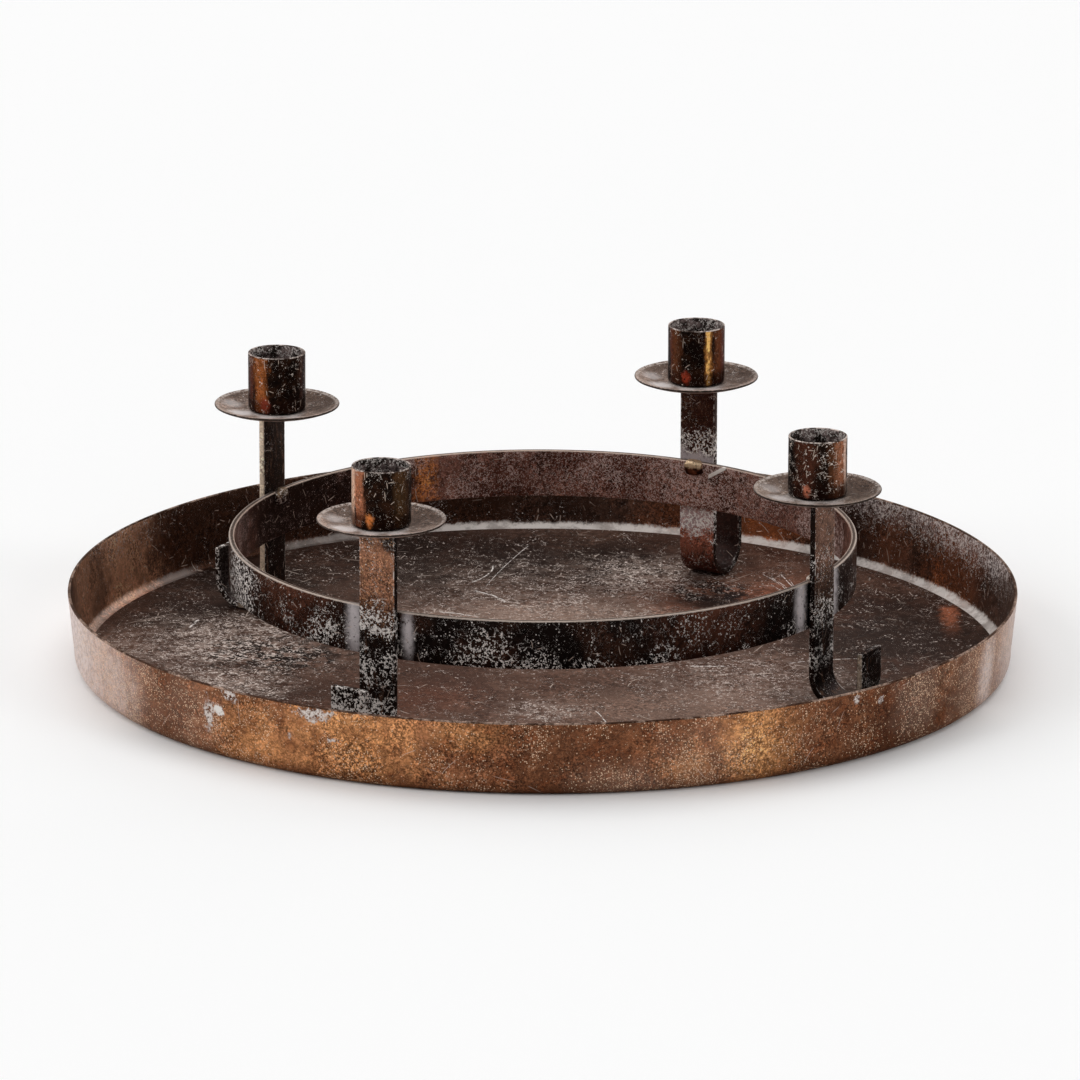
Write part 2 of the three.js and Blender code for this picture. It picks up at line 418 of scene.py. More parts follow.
class Value:
    """One output of a node. Arithmetic on it makes more nodes, and a | b is the larger of the two."""

    def __init__(self, finish, socket):
        self.finish = finish
        self.socket = socket

    def __add__(self, other):
        return self.finish.math("ADD", self, other)

    def __sub__(self, other):
        return self.finish.math("SUBTRACT", self, other)

    def __rsub__(self, other):
        return self.finish.math("SUBTRACT", other, self)

    def __mul__(self, other):
        return self.finish.math("MULTIPLY", self, other)

    def __rmul__(self, other):
        return self.finish.math("MULTIPLY", other, self)

    def __truediv__(self, other):
        return self.finish.math("DIVIDE", self, other)

    def __or__(self, other):
        return self.finish.math("MAXIMUM", self, other)

    def __ror__(self, other):
        return self.finish.math("MAXIMUM", other, self)

    def __abs__(self):
        return self.finish.math("ABSOLUTE", self)


class Finish:
    """Shader nodes of one procedural material. Arguments are numbers, tuples or values."""

    def __init__(self, name):
        self.material = bpy.data.materials.new(name)
        self.material.use_nodes = True
        self.nodes = self.material.node_tree.nodes
        self.links = self.material.node_tree.links
        self.nodes.clear()
        place = self.node("ShaderNodeTexCoord")["Object"]
        self.place = self.vector("SCALE", place, scale=1 / MM)
        self.x, self.y, self.z = self.parts(self.place)

    def node(self, kind, inputs=None, **settings):
        """Makes a node and returns its outputs by number and by name."""
        node = self.nodes.new(kind)
        for key, value in settings.items():
            setattr(node, key, value)
        for socket, value in (inputs or {}).items():
            if isinstance(value, Value):
                self.links.new(value.socket, node.inputs[socket])
            else:
                node.inputs[socket].default_value = value
        outputs = {number: Value(self, socket) for number, socket in enumerate(node.outputs)}
        return outputs | {socket.name: Value(self, socket) for socket in node.outputs if socket.enabled}

    def parts(self, value, kind="XYZ"):
        outputs = self.node(f"ShaderNodeSeparate{kind}", {0: value})
        return [outputs[number] for number in range(3)]

    def math(self, operation, *values):
        return self.node("ShaderNodeMath", dict(enumerate(values)), operation=operation)[0]

    def scaled(self, value, factor, base):
        """A value times a factor, plus a base."""
        return self.math("MULTIPLY_ADD", value, factor, base)

    def vector(self, operation, *values, scale=None):
        inputs = dict(enumerate(values))
        if scale is not None:
            inputs["Scale"] = scale
        outputs = self.node("ShaderNodeVectorMath", inputs, operation=operation)
        return outputs["Value" if operation in ("DOT_PRODUCT", "LENGTH") else "Vector"]

    def flat(self, u, v):
        """Two values as a place on a flat surface."""
        return self.node("ShaderNodeCombineXYZ", {0: u, 1: v})[0]

    def along_wall(self, radius, x=None, y=None):
        """How far a place lies along a round wall, in millimetres."""
        return self.math("ARCTAN2", y or self.y, x or self.x) * (radius / MM)

    def step(self, value, low, high):
        """0 below low and 1 above high, with a soft change between. It falls where low is above high."""
        inputs = {"Value": value, "From Min": low, "From Max": high}
        return self.node("ShaderNodeMapRange", inputs, interpolation_type="SMOOTHSTEP")[0]

    def noise(self, size, detail=3, roughness=0.55, seed=0, stretch=None):
        """Clouds between 0 and 1 with features about size millimetres across."""
        source = self.place
        if stretch:
            source = self.vector("MULTIPLY", source, stretch)
        source = self.vector("ADD", source, (seed * 17.3, seed * 31.7, seed * 7.9))
        inputs = {"Vector": source, "Scale": 1 / size, "Detail": detail, "Roughness": roughness}
        return self.node("ShaderNodeTexNoise", inputs)[0]

    def clouds(self, low, high, *look):
        """The part of some clouds between two of their levels."""
        return self.step(self.noise(*look), low, high)

    def rise(self, cloud, ragged, low, high):
        """0 below one height and 1 above another, with a ragged change between."""
        return self.step(self.scaled(cloud, ragged, self.z), low, high)

    def ridge(self, size, width, seed, detail=4, stretch=None):
        """Branching lines where clouds pass through their middle value."""
        return self.step(abs(self.noise(size, detail, 0.7, seed, stretch) - 0.5), width, width * 0.2)

    def mix(self, mask, first, second):
        """The second colour over the first. A colour is a value, a tuple of the 0 to 255 values
        that a screen shows, or a list of linear ones."""
        first, second = (srgb(*colour) if isinstance(colour, tuple) else colour for colour in (first, second))
        inputs = {0: mask, 6: first, 7: second}
        return self.node("ShaderNodeMix", inputs, data_type="RGBA")[2]

    def coat(self, mask, colour):
        """Lays a colour over the finish where the mask is high."""
        self.colour = self.mix(mask, self.colour, colour)

    def level(self, mask, first, second):
        """A number that goes from first to second as the mask goes from 0 to 1."""
        return self.node("ShaderNodeMix", {0: mask, 2: first, 3: second}, data_type="FLOAT")[0]

    def weathered(self, colour, seed, coarse=0.45, fine=0.5, size=2.6, grain=0.85):
        """Light and dark mottling that all of the old metal has, at two fine scales."""
        first = self.noise(size, 5, 0.76, seed)
        second = self.noise(grain, 2, 0.6, seed + 0.5)
        slow = self.level(self.step(first, 0.4, 0.6), 1 - coarse, 1 + coarse)
        quick = self.level(self.step(second, 0.38, 0.62), 1 - fine, 1 + fine)
        gritty = self.clouds(0.4, 0.6, size * 6, 3, 0.65, seed + 0.7)
        change = self.level(self.level(gritty, 0.3, 1.0), 1, slow * quick)
        lit = self.vector("SCALE", colour, scale=change)
        return self.vector("MINIMUM", lit, (0.9, 0.9, 0.9))

    def weather(self, *look):
        self.colour = self.weathered(self.colour, *look)

    def spot(self, centre, size, ragged=0.5, grain=6, seed=0, edge=0.5, scale=(1, 1, 1)):
        """A patch of about size millimetres around a point, with a ragged edge."""
        offset = self.vector("SUBTRACT", self.place, centre)
        reach = self.vector("LENGTH", self.vector("MULTIPLY", offset, scale))
        rough = (self.noise(grain, 4, 0.65, seed) - 0.5) * (size * ragged * 4)
        return self.step(reach + rough, size * (1 + edge), size * (1 - edge))

    def grains(self, amount, size, seed=0):
        """Single round grains in random cells about size millimetres wide, more of them where amount is high."""
        source = self.vector("ADD", self.place, (seed * 11.3, seed * 23.9, seed * 5.1))
        cells = self.node("ShaderNodeTexVoronoi", {"Vector": source, "Scale": 1 / size})
        chance = self.parts(cells["Color"], "Color")
        present = self.step(chance[0] + amount, 0.97, 1.03)
        reach = self.level(chance[1], 0.26, 0.5)
        inside = self.step(cells["Distance"] / reach, 1, 0.6)
        return present * inside

    def crystals(self, amount, size=0.9, seed=0):
        """Pale crystals: a lace of thin branching lines and single grains, both denser where amount is high."""
        away = abs(self.noise(size * 4.4, 4, 0.68, seed) - 0.5)
        width = self.scaled(amount * amount, 0.068, 0.001)
        lace = self.step(away, width, width * 0.6)
        broken = self.clouds(0.44, 0.5, size * 1.7, 2, 0.6, seed + 0.4)
        return lace * broken | self.grains(amount * 0.45, size * 1.15, seed)

    def scratches(self, u, v, cell, width, seed, reach=0.45, density=0.4, turn=0.0, spread=1.0):
        """Thin short scratches on a surface with places (u, v), one in some of its random cells."""
        at = self.vector("ADD", self.flat(u, v), (seed * 13.7, seed * 29.3, 0))
        cells = self.node("ShaderNodeTexVoronoi", {"Vector": at, "Scale": 1 / cell}, voronoi_dimensions="2D")
        chance = self.parts(cells["Color"], "Color")
        offset = self.parts(self.vector("SUBTRACT", at, cells["Position"]))
        angle = self.scaled(chance[0], math.pi * spread, turn)
        cosine = self.math("COSINE", angle)
        sine = self.math("SINE", angle)
        along = offset[0] * cosine + offset[1] * sine
        across = offset[1] * cosine - offset[0] * sine
        bow = (chance[1] - 0.5) * (along * along)
        across = self.scaled(bow, 0.6 / cell, across)
        thin = self.step(abs(across), width, width * 0.3)
        length = self.level(chance[1], cell * reach * 0.35, cell * reach)
        short = self.step(abs(along) / length, 1, 0.5)
        present = self.step(chance[2], 1 - density, 1 - density * 0.8)
        return thin * short * present

    def stroke(self, start, end, width, bow=0.0):
        """One long scratch between two places on a flat floor, slightly bowed and broken up."""
        first = Vector(start)
        line = Vector(end) - first
        length = line.length
        along_axis = line / length
        across_axis = Vector((-along_axis.y, along_axis.x))
        offset = self.vector("SUBTRACT", self.place, (*first, 0))
        along = self.vector("DOT_PRODUCT", offset, (*along_axis, 0))
        across = self.vector("DOT_PRODUCT", offset, (*across_axis, 0))
        share = along / length
        arch = share * (1 - share)
        across = self.scaled(arch, -4 * bow, across)
        wander = (self.noise(5, 2) - 0.5) * (width * 2.5)
        thin = self.step(abs(across + wander), width, width * 0.4)
        inside = self.step(along, 0, 2) * self.step(along, length, length - 2)
        broken = self.clouds(0.4, 0.52, 1.6, 3, 0.7, 9)
        return thin * inside * broken

    def done(self, metallic, roughness, height, depth, specular=0.3, tint=(0.6, 0.48, 0.42, 1)):
        """Puts the layers on the shader. depth is the relief's depth in millimetres, and tint
        the colour of the metal's shine at its edges."""
        bump = self.node("ShaderNodeBump", {"Height": height, "Strength": 1.0, "Distance": depth * MM})
        inputs = {
            "Base Color": self.colour,
            "Metallic": metallic,
            "Roughness": roughness,
            "Normal": bump[0],
            "Specular IOR Level": specular,
            "Specular Tint": tint,
        }
        shader = self.node("ShaderNodeBsdfPrincipled", inputs)
        self.node("ShaderNodeOutputMaterial", {0: shader[0]})
        return self.material

    def dusted(self, mineral, metallic, roughness, rougher, *relief, **shine):
        """Puts the layers on the shader: metal that the mineral hides and makes rougher."""
        return self.done((1 - mineral) * metallic, roughness + mineral * rougher, *relief, **shine)


# Colours that several finishes share, as the 0 to 255 values that a screen shows
# The gold of the painted highlights on the tray's wall
HIGHLIGHT_GOLD = (226, 160, 104)
COPPER = (160, 106, 74)
RUST = (118, 66, 40)
BROWN = (92, 57, 38)
DARK = (48, 29, 21)
BLACK = (20, 13, 11)
PALE = (216, 194, 180)
CHALK = (228, 222, 216)
BLOOM = (190, 168, 155)
LACE = (244, 236, 230)


def on_wall(azimuth, height, radius=TRAY_RADIUS):
    """A place on an upright round surface, in millimetres. Azimuth is in degrees from -Y, anticlockwise."""
    turn = math.radians(azimuth)
    return (radius / MM * math.sin(turn), -radius / MM * math.cos(turn), height)


def on_hoop(azimuth, height):
    return on_wall(azimuth, height, RING_RADIUS)


def on_floor(x, y):
    return (x, y, 1)


def larger(masks):
    """The largest of several masks at each place."""
    return reduce(operator.or_, masks)


def patches(f, place, looks, ragged=0.5, grain=9, seed=0, edge=0.8):
    """Several patches at once. Each look is the two coordinates that place takes, a size, a
    strength and sometimes a scale."""
    return larger([
        f.spot(place(u, v), size, ragged, grain, seed + number * 0.37, edge, *scale) * strength
        for number, (u, v, size, strength, *scale) in enumerate(looks)
    ])


# Flaked spots on the tray's wall: azimuth in degrees and height, then a spot's size,
# raggedness, grain, seed and edge, and sometimes its scale
TRAY_FLAKES = [
    (2.5, 28.5, 8, 0.8, 3, 14, 0.3, (1, 1, 2.4)), (-9.4, 29, 4, 0.8, 3, 15, 0.3, (1, 1, 1.6)),
    (-13, 17, 4.6, 0.7, 3, 18, 0.4, (1.7, 1.7, 0.6)), (-0.7, 16.9, 1.8, 0.5, 2, 19, 0.3),
    (4.9, 18, 2.4, 0.8, 2, 20, 0.3, (1, 1, 2)), (4.9, 11.2, 1.7, 0.5, 2, 21, 0.3), (70, 28, 1.7, 0.6, 2, 22, 0.3),
    (74, 25, 1.6, 0.6, 2, 23, 0.3), (-150, 26, 7, 0.8, 3, 24, 0.3, (1, 1, 2)),
    (172, 27, 8, 0.8, 3, 25, 0.3, (1, 1, 2)),
]


def tray_outer():
    """Copper with painted orange-gold highlights, under red-brown mottles, pale grains and a flaking crust, with a
    painted pale sheen at its far sides.
    """
    f = Finish("tray_outer_copper")
    big = f.noise(42, 4, 0.6, 1)
    middle = f.noise(12, 6, 0.7, 2, stretch=(1, 1, 1.5))
    small = f.noise(2.4, 4, 0.7, 3)
    # Painted highlights: orange-gold reflections of light, placed round the wall
    glow_highlight = patches(f, on_wall, [
        (56.5, 15, 14, 1.0, (1, 1, 0.5)), (7, 19, 27, 0.9), (-6, 9, 16, 0.8), (21, 27, 14, 0.6, (1, 1, 1.8)),
        (48, 10, 10, 0.4), (150, 18, 34, 0.7), (-100, 14, 30, 0.6), (-155, 20, 26, 0.7),
    ], seed=5)
    shade = patches(f, on_wall, [
        (34, 12, 32, 0.85), (90, 16, 16, 1.0), (66, 17, 26, 0.65, (1, 1, 0.6)), (80, 18, 30, 1.15),
        (-22, 25, 20, 0.2), (122, 14, 30, 0.8), (-130, 14, 34, 0.8), (-66, 14, 30, 0.7),
    ], seed=7)
    f.colour = f.mix(f.step(big, 0.38, 0.62), (112, 68, 45), COPPER)
    f.coat(glow_highlight * 0.85, HIGHLIGHT_GOLD)
    # A brighter painted highlight inside one of them
    bright_highlight = f.spot(on_wall(55.5, 13), 9, 0.5, 5, 32, 0.7, (1, 1, 0.6))
    f.coat(bright_highlight * 0.75, (255, 188, 124))
    f.coat(shade * 0.78, (74, 43, 29))
    f.coat(f.step(middle, 0.5, 0.6) * 0.5, RUST)
    f.coat(f.ridge(7, 0.05, 4, 6, (1, 1, 1.4)) * 0.45, DARK)
    leathery = patches(f, on_wall, [
        (7, 8, 20, 1.0, (1, 1, 1.6)), (56, 12, 12, 0.9), (-8, 24, 14, 0.6), (160, 10, 30, 0.7),
    ], seed=30)
    f.coat(leathery * f.ridge(3.4, 0.07, 11, 3) * 0.85, (84, 48, 30))
    f.coat(f.step(small, 0.56, 0.64) * 0.35, DARK)
    low = f.rise(middle, 10, 13, 6)
    f.coat(low * 0.5, BROWN)
    f.weather(28, 0.28, 0.55)
    # Pale dust, and at -34 and 99 on the wall's far sides a painted pale sheen
    dusted = patches(f, on_wall, [
        (49, 12, 17, 0.35), (81, 20, 13, 0.6), (-34, 18, 34, 0.85), (-17, 16, 18, 0.45), (99, 18, 34, 0.85),
        (40, 4, 18, 0.5, (1, 1, 2)), (-80, 22, 30, 0.5), (170, 18, 30, 0.5),
    ], seed=9)
    f.coat(dusted * 0.3, (190, 160, 144))
    everywhere = f.clouds(0.38, 0.66, 20, 3, 0.6, 12) * 0.38
    amount = dusted * 0.5 + everywhere
    grains = f.crystals(amount * 0.6, 0.75, 13) * 0.8 | f.grains(amount * 1.4, 0.72, 29)
    # Painted sheen: the pale grazing reflection along the wall's far sides
    haze_and_sheen = (
        f.spot(on_wall(-61, 16), 92, 0.12, 16, 16, 0.5) | f.spot(on_wall(-34, 15), 20, 0.4, 8, 31, 0.7) * 0.6
        | f.spot(on_wall(98.5, 14), 9, 0.25, 5, 17, 0.7, (1, 1, 0.5)) * 0.8
        | f.spot(on_wall(118, 16), 50, 0.15, 12, 17, 0.5) * 0.8
    )
    f.coat(haze_and_sheen * f.level(f.step(small, 0.46, 0.56), 0.92, 0.6), (224, 210, 206))
    flaked = larger([f.spot(on_wall(azimuth, level), *look) for azimuth, level, *look in TRAY_FLAKES])
    crust = flaked * (f.ridge(3.4, 0.11, 26, 3) | f.clouds(0.56, 0.6, 1.6, 4, 0.75, 26))
    chip = f.spot(on_wall(-11.3, 21.3), 1.9, 0.5, 2, 27, 0.2, (0.7, 0.7, 0.8))
    along = f.along_wall(TRAY_RADIUS)
    marks = f.scratches(along, f.z, 14, 0.2, 2, density=0.25)
    # Pale along the top of the wall: wear, with a painted highlight along the rim
    wear_and_sheen = f.rise(small, 1.2, TRAY_HEIGHT / MM + 0.1, TRAY_HEIGHT / MM + 0.5)
    f.coat(grains * 0.85, (240, 208, 176))
    f.coat(marks * 0.5, PALE)
    f.coat(flaked * 0.6, (74, 46, 36))
    f.coat(crust * 0.9, (228, 218, 212))
    f.coat(chip, CHALK)
    f.coat(wear_and_sheen * 0.55, PALE)
    mineral = grains * 0.7 | crust * 0.9 | chip | haze_and_sheen * 0.7
    height = small * 0.35 + crust * 0.6 + marks * -0.4
    return f.dusted(mineral, 0.82, f.level(middle, 0.3, 0.56), 0.2, height, 0.2)


def tray_rim():
    """The rim's edge: dark brown, worn pale in places."""
    f = Finish("tray_worn_rim")
    middle = f.noise(16, 5, 0.7, 31)
    small = f.noise(1.6, 3, 0.7, 32)
    f.colour = f.mix(f.step(middle, 0.46, 0.58), (66, 45, 35), (158, 134, 120))
    f.coat(f.step(small, 0.5, 0.6) * 0.7, DARK)
    f.weather(33, 0.3, 0.3)
    return f.done(0.7, f.level(middle, 0.35, 0.5), small, 0.12)


def tray_inner():
    """The wall's dark inside with fine scratches, a painted highlight along its corner with the floor, a painted
    sheen on its left and pale grains at the rim.
    """
    f = Finish("tray_inner_copper")
    big = f.noise(40, 4, 0.6, 41)
    middle = f.noise(10, 5, 0.68, 42)
    small = f.noise(1.8, 4, 0.7, 43)
    f.colour = f.mix(f.step(big, 0.38, 0.64), (66, 47, 39), (100, 74, 62))
    f.coat(f.step(middle, 0.5, 0.62) * 0.6, (40, 28, 23))
    warm = patches(f, on_wall, [
        (149.5, 8, 6, 1.0), (160, 14, 12, 0.3), (146, 13, 24, 0.4), (-96, 12, 20, 0.3),
        (180, 14, 17, 1.0, (1, 1, 1.4)), (192, 14, 20, 0.35), (20, 12, 30, 0.5),
    ], seed=44)
    f.coat(warm * 0.8, (184, 108, 66))
    back = f.spot(on_wall(-119, 18), 96, 0.3, 20, 45, 0.4)
    f.coat(back * 0.9, (66, 41, 29))
    sheen = patches(f, on_wall, [(-84, 14, 22, 1.0, (1, 1, 0.6)), (-70, 20, 22, 0.6)], grain=7, seed=54)
    f.coat(sheen * 0.9, (232, 172, 136))
    f.weather(52, 0.4, 0.5)
    along = f.along_wall(TRAY_RADIUS)
    marks = f.scratches(along, f.z, 5, 0.3, 3, density=0.45) | f.scratches(along, f.z, 9, 0.28, 4, density=0.5)
    marks = marks * f.clouds(0.4, 0.56, 26, 2, 0.5, 46)
    dusty = patches(f, on_wall, [
        (146, 30, 40, 1.0, (0.8, 0.8, 1.4)), (162, 31, 30, 0.9, (0.8, 0.8, 1.8)), (134, 26, 30, 1.0),
        (-85, 28, 26, 0.35, (0.8, 0.8, 2)),
    ], grain=7, seed=47)
    near_rim = f.rise(middle, 10, 14, 38)
    settling = dusty * near_rim
    amount = settling + f.step(middle, 0.5, 0.68) * 0.25
    grains = f.crystals(amount, 0.75, 50) | f.grains(amount * 0.5, 0.75, 55)
    veil = f.step(settling, 0.3, 0.8) * f.step(small, 0.42, 0.54)
    # Painted highlight: a pale band along the rounded corner with the floor, where it reflects light
    uneven = (middle - 0.5) * 4
    corner_height = f.z + uneven + (small - 0.5) * 3
    corner = f.step(corner_height, 4.2, 2.6) * f.clouds(0.32, 0.44, 60, 3, 0.6, 51)
    corner = corner * f.level(f.clouds(0.38, 0.56, 9, 4, 0.7, 56), 0.6, 1)
    thin = f.spot(on_wall(-80, 3), 150, 0.1, 20, 53, 0.3)
    corner = corner * f.level(thin, 1, 0.3)
    f.coat(marks * 0.8, PALE)
    f.coat(veil * 0.25, (214, 198, 198))
    f.coat(grains * 0.85, (226, 214, 208))
    f.coat(corner * 0.9, (236, 228, 222))
    mineral = grains * 0.8 | corner * 0.9 | veil * 0.9
    height = small * 0.4 + marks * -0.5
    return f.dusted(mineral, 0.75, f.level(middle, 0.32, 0.5), 0.25, height, 0.16)


# Long scratches on the tray's floor: start, end, half width and bow
FLOOR_STROKES = [
    ((-74, 67), (-52, 58), 0.7, 2), ((-81, 75), (-86, 105), 0.5, -3), ((-72, 75), (-88, 139), 0.2, 1),
    ((-71, 31), (-50, 33), 0.7, 1), ((-148, -44), (-152, -31), 0.7, 0), ((62, 15), (76, 23), 0.7, 0),
    ((27, 150), (48, 132), 0.25, 1), ((27, 158), (50, 134), 0.3, 0), ((32, 141), (49, 131), 0.25, -1),
    ((21, 153), (45, 134), 0.2, 1), ((35, 152), (51, 133), 0.2, 0), ((96, 40), (128, 66), 0.4, 3),
    ((60, -60), (84, -90), 0.4, 2),
]


# Where the painted reflection of the wall's warm spot begins on the floor, and which way it runs
FLOOR_REFLECTION_START = (116, 147, 1)
FLOOR_REFLECTION_ALONG = (0.5, -0.866, 0)
FLOOR_REFLECTION_ACROSS = (0.866, 0.5, 0)


def tray_floor():
    """The floor's satin taupe copper, with clouds, pale bloom, black pits and many scratches, and painted light: a
    pale sheen band, shade near the back and the walls, and a reflection of the wall's warm spot.
    """
    f = Finish("tray_floor_copper")
    big = f.noise(55, 4, 0.62, 61)
    middle = f.noise(14, 6, 0.7, 62)
    small = f.noise(2.2, 4, 0.72, 63)
    f.colour = f.mix(f.step(big, 0.38, 0.62), (80, 55, 45), (112, 84, 71))
    # Painted sheen: a pale band across the floor where its satin surface reflects light, and a few more pale patches
    wear_and_sheen = patches(f, on_floor, [
        (-61, 16, 26, 0.8), (-36, 31, 28, 1.0), (-10, 46, 28, 1.0), (16, 61, 26, 1.0), (38, 74, 22, 0.8),
        (96, -44, 40, 0.6), (140, -34, 30, 0.6), (40, -140, 30, 0.4),
    ], ragged=0.4, grain=20, seed=66)
    f.coat(wear_and_sheen * 0.8, (160, 133, 118))
    red = patches(f, on_floor, [
        (42, 112, 36, 1.0), (-30, -150, 36, 0.4), (72, -120, 26, 0.5), (-8, -84, 20, 0.3), (150, 70, 30, 0.4),
    ], grain=18, seed=65)
    f.coat(red * 0.8, (140, 82, 58))
    # Painted shade: dark patches on the floor near the back and the walls
    painted_shade = patches(f, on_floor, [
        (-117, 82, 40, 1.0), (-83, 118, 44, 1.0), (-48, 138, 38, 1.0), (-10, 156, 26, 0.8),
        (-132, 104, 30, 1.0), (124, 98, 60, 1.0), (160, 30, 40, 1.0), (22, 104, 14, 1.0), (-160, 30, 46, 1.0),
        (-164, -24, 40, 0.9), (84, 132, 26, 0.9), (-60, -130, 34, 0.7),
    ], grain=16, seed=81)
    f.coat(painted_shade * 0.94, (34, 23, 19))
    f.coat(f.step(middle, 0.5, 0.62) * 0.35, DARK)
    f.coat(f.step(small, 0.56, 0.64) * 0.3, BLACK)
    from_reflection = f.vector("SUBTRACT", f.place, FLOOR_REFLECTION_START)
    along_reflection = f.vector("DOT_PRODUCT", from_reflection, FLOOR_REFLECTION_ALONG)
    across_reflection = f.vector("DOT_PRODUCT", from_reflection, FLOOR_REFLECTION_ACROSS)
    ragged = (f.noise(4, 4, 0.65, 68) - 0.5) * 8
    fading = f.step(along_reflection, 62, -4)
    # Painted reflection of the wall's warm spot, drawn out across the floor
    ember = (
        f.step(abs(across_reflection + ragged), 5.5, 0.5) * f.step(along_reflection + ragged, -8, 3) * (fading * fading)
    )
    f.coat(ember * 0.85, (196, 118, 84))
    f.weather(82, 0.3, 0.35, 3.4, 1.3)
    bloom = patches(f, on_floor, [
        (-120, -55, 36, 1.0), (-92, -105, 24, 0.9), (-20, 122, 28, 0.7), (-40, 60, 50, 0.5), (93, 10, 36, 0.5),
        (40, -72, 14, 0.8), (-150, -90, 24, 0.6),
    ], grain=12, seed=69)
    haze_and_sheen = bloom * f.clouds(0.42, 0.58, 6, 6, 0.78, 75)
    f.coat(haze_and_sheen * 0.55, BLOOM)
    amount = bloom * 0.6 + f.step(middle, 0.42, 0.6) * 0.3
    grains = f.crystals(amount, 1.0, 76)
    pits = (
        (f.spot((-97, -59, 1), 28, 0.6, 6, 77, 0.6) | f.spot((16, 117, 1), 18, 0.5, 8, 78, 0.5))
        * f.clouds(0.44, 0.5, 6.5, 5, 0.72, 79)
    )
    marks = (
        f.scratches(f.x, f.y, 9, 0.32, 5, density=0.35) | f.scratches(f.x, f.y, 24, 0.28, 6, density=0.4)
        | f.scratches(f.x, f.y, 46, 0.3, 7, density=0.5) * 0.8
    )
    marks = marks * f.clouds(0.42, 0.58, 24, 3, 0.6, 80)
    strokes = larger([f.stroke(*stroke) for stroke in FLOOR_STROKES])
    f.coat(pits * 0.95, BLACK)
    f.coat(grains * 0.9, (228, 212, 202))
    f.coat(marks * 0.75, (224, 206, 192))
    f.coat(strokes * 0.95, LACE)
    mineral = grains * 0.7 | haze_and_sheen * 0.5 | strokes * 0.5
    height = small * 0.45 + (marks | strokes) * -0.5
    return f.dusted(mineral, 0.45, f.level(middle, 0.4, 0.6), 0.2, height, 0.16, specular=0.15)


# Pale upright bands on the hoop beside the arms: azimuth in degrees and half width in millimetres
HOOP_PALE_BANDS = [(-5.6, 3.6), (5.5, 2.4), (84, 3.5), (96, 5), (-84, 5), (-97, 4), (174, 5), (-173, 4)]


def edge_lines(f, radius, low, high):
    """Two masks: the hoop's flat top, and the pale lines along its upper and lower edges, which are wear and painted
    edge highlight.
    """
    reach = f.vector("LENGTH", f.flat(f.x, f.y))
    small = f.noise(1.3, 4, 0.7, 118)
    on_top = f.step(f.z, high / MM - 0.5, high / MM - 0.25)
    outer = f.step(f.scaled(small, 0.8, reach), radius / MM - 0.7, radius / MM - 0.1)
    inner_edge = (radius - RING_THICKNESS) / MM
    inner = f.step(f.scaled(small, -0.8, reach), inner_edge + 0.3, inner_edge - 0.1)
    top_line = f.rise(small, 0.8, high / MM - 0.35, high / MM) * (1 - on_top * 0.9)
    low_line = f.rise(small, -0.8, low / MM - 0.1, low / MM - 0.5)
    return on_top, on_top * (outer | inner) | top_line | low_line * 0.7


def hoop_outer():
    """Nearly black bar with brown showing through, clusters of pale crystals and worn edges."""
    f = Finish("hoop_dark_outside")
    big = f.noise(30, 4, 0.6, 91)
    middle = f.noise(9, 5, 0.7, 92)
    small = f.noise(1.6, 4, 0.72, 93)
    brown = patches(f, on_hoop, [
        (-24, 50, 22, 1.0, (1, 1, 1.4)), (62, 50, 22, 0.8, (1, 1, 1.4)), (-80, 46, 22, 0.7), (140, 46, 26, 0.8),
        (-140, 46, 26, 0.8),
    ], seed=90)
    f.colour = f.mix(f.step(big, 0.46, 0.64), BLACK, (54, 34, 26))
    f.coat(brown * 0.8, (92, 54, 40))
    f.coat(f.step(middle, 0.52, 0.62) * 0.5, BLACK)
    f.weather(100, 0.45, 0.5)
    low = f.rise(middle, 10, RING_HIGH / MM + 2, RING_LOW / MM + 5)
    clusters = (
        f.clouds(0.46, 0.62, 11, 3, 0.62, 94) * f.level(low, 0.2, 0.8)
        | patches(f, on_hoop, [
            (-42, 44, 18, 1.0), (-13, 39, 9, 1.0), (57, 48, 9, 0.45), (20, 37, 12, 0.9),
        ], grain=5, seed=95)
    )
    grains = f.crystals(clusters * 0.85 + 0.1, 0.78, 98)
    bands = patches(
        f, on_hoop, [(turn, 45, reach, 1.0, (1, 1, 0.28)) for turn, reach in HOOP_PALE_BANDS], ragged=0.3, grain=3,
        seed=99, edge=0.75,
    )
    bands = bands * f.step(small, 0.3, 0.44)
    marks = f.scratches(f.along_wall(RING_RADIUS), f.z, 6, 0.26, 8, density=0.3)
    on_top, edge = edge_lines(f, RING_RADIUS, RING_LOW, RING_HIGH)
    f.coat(grains * 0.9, LACE)
    f.coat(bands * 0.95, (210, 201, 202))
    f.coat(marks * 0.6, PALE)
    f.coat(on_top * 0.7, (78, 64, 57))
    # Pale edge lines: wear with a painted edge highlight
    f.coat(edge * 0.8, (206, 190, 178))
    mineral = grains * 0.8 | bands * 0.9 | edge * 0.4
    height = small * 0.5 + grains * 0.4 + marks * -0.5
    return f.dusted(mineral, 0.7, f.level(middle, 0.32, 0.5), 0.25, height, 0.2, specular=0.25)


# A pale slash on the hoop's inside: its way round in degrees and its height
SLASH_AZIMUTH = 84.8
SLASH_HEIGHT = 51.3


